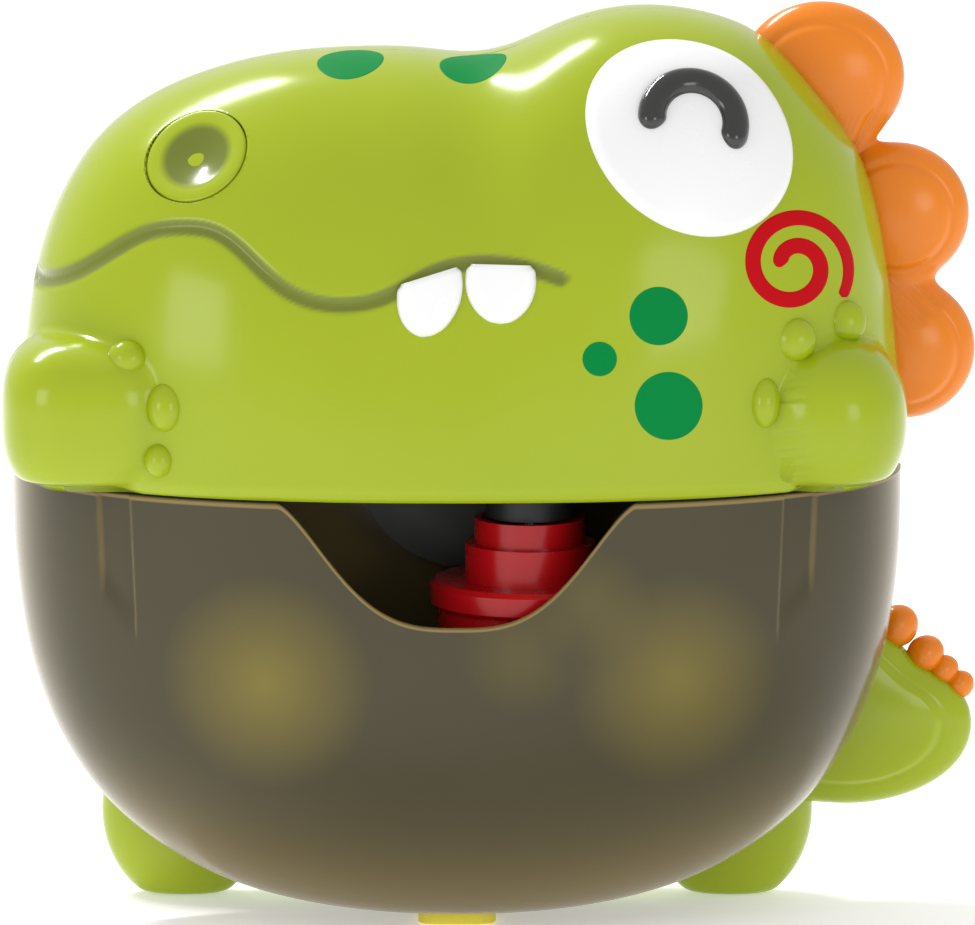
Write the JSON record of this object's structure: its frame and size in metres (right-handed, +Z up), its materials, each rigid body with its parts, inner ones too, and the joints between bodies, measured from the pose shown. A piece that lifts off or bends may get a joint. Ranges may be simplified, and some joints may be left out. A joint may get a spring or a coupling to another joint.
{
  "type": "bubble machine",
  "caption": "Bath bubble machine shaped like a dinosaur head on a clear tank, with a press-button nose, a turning bubble drum and suction cups.",
  "frame": {"origin": "middle of the front foot's sole, on the surface that the toy stands on", "axes": "+X towards the eye and tail side, +Y towards the flat back with the suction cups, +Z up"},
  "size_m": [0.2039, 0.0925, 0.1923],
  "materials": {
    "green_plastic": "satin gloss",
    "tank_plastic": "clear smoke brown",
    "orange_plastic": "gloss",
    "yellow_plastic": "gloss",
    "white_plastic": "gloss",
    "eyelid_plastic": "high gloss",
    "red_plastic": "gloss",
    "grey_plastic": "satin",
    "natural_plastic": "satin",
    "black_plastic": "matt",
    "lamp_plastic": "frosted",
    "soft_vinyl": "clear",
    "steel": "bright",
    "motor_steel": "satin",
    "cell_wrap": "gloss film",
    "board": "lacquered",
    "speaker_cone": "paper"
  },
  "bodies": {
    "tank": {"tank": "tank_plastic", "front_foot": "yellow_plastic"},
    "head": {"front_shell": "green_plastic", "rear_shell": "green_plastic", "lower_housing_cover": "green_plastic", "left_foot": "green_plastic", "right_foot": "green_plastic", "tail": "green_plastic", "crest": "orange_plastic", "tail_spikes": "orange_plastic", "eye_white": "white_plastic", "left_tooth": "white_plastic", "right_tooth": "white_plastic", "closed_eyelid": "eyelid_plastic", "blower_housing": "grey_plastic", "blower_cover": "grey_plastic", "chassis_floor": "grey_plastic", "air_duct": "grey_plastic", "button_carrier": "grey_plastic", "speaker_ring": "grey_plastic", "gearbox_tray": "natural_plastic", "gearbox_lid": "natural_plastic", "battery_box": "natural_plastic", "drum_bush": "black_plastic", "push_switch": "black_plastic", "board_parts": "black_plastic", "door_gasket": "black_plastic", "lamp_lenses": "lamp_plastic", "lamp_boards": "lamp_plastic", "suction_cups": "soft_vinyl", "idler_pin": "steel", "gearbox_screws": "steel", "shell_screws": "steel", "housing_screws": "steel", "button_spring": "steel", "battery_contacts": "steel", "gear_motor": "motor_steel", "fan_motor": "motor_steel", "battery_cells": "cell_wrap", "main_board": "board", "switch_board": "board", "speaker": "speaker_cone"},
    "drum": {"bubble_drum": "red_plastic", "drum_shaft": "steel", "drum_gear": "natural_plastic"},
    "idler": {"idler_gear": "natural_plastic"},
    "pinion": {"motor_pinion": "natural_plastic", "gear_motor_shaft": "steel"},
    "fan": {"fan_wheel": "natural_plastic", "fan_shaft": "steel"},
    "button": {"nose_button": "green_plastic"},
    "door": {"battery_door": "green_plastic", "door_screw": "steel"}
  },
  "joints": [
    {"name": "head_lift", "type": "slide", "parent": "tank", "child": "head", "axis": [0, 0, 1], "range_m": [0, 0.07]},
    {"name": "drum_spin", "type": "hinge", "parent": "head", "child": "drum", "pos_m": [0.0153, -0.014, 0.09], "axis": [0, 0, 1], "continuous": true},
    {"name": "idler_spin", "type": "hinge", "parent": "head", "child": "idler", "pos_m": [-0.0003, -0.014, 0.103], "axis": [0, 0, 1], "continuous": true},
    {"name": "pinion_spin", "type": "hinge", "parent": "head", "child": "pinion", "pos_m": [-0.0159, -0.014, 0.105], "axis": [0, 0, 1], "continuous": true},
    {"name": "fan_spin", "type": "hinge", "parent": "head", "child": "fan", "pos_m": [0.002, 0.01, 0.097], "axis": [0, 1, 0], "continuous": true},
    {"name": "nose_press", "type": "slide", "parent": "head", "child": "button", "axis": [0.4439, 0.6899, -0.5719], "range_m": [0, 0.0015], "stiffness_N_per_m": 400, "springref_m": -0.001},
    {"name": "door_swing", "type": "hinge", "parent": "head", "child": "door", "pos_m": [0, 0.0401, 0.1134], "axis": [-1, 0, 0], "range_deg": [0, 100]}
  ],
  "couplings": [
    {"joint": "idler_spin", "follows": "drum_spin", "ratio": -3.3333},
    {"joint": "pinion_spin", "follows": "drum_spin", "ratio": 11.111}
  ]
}
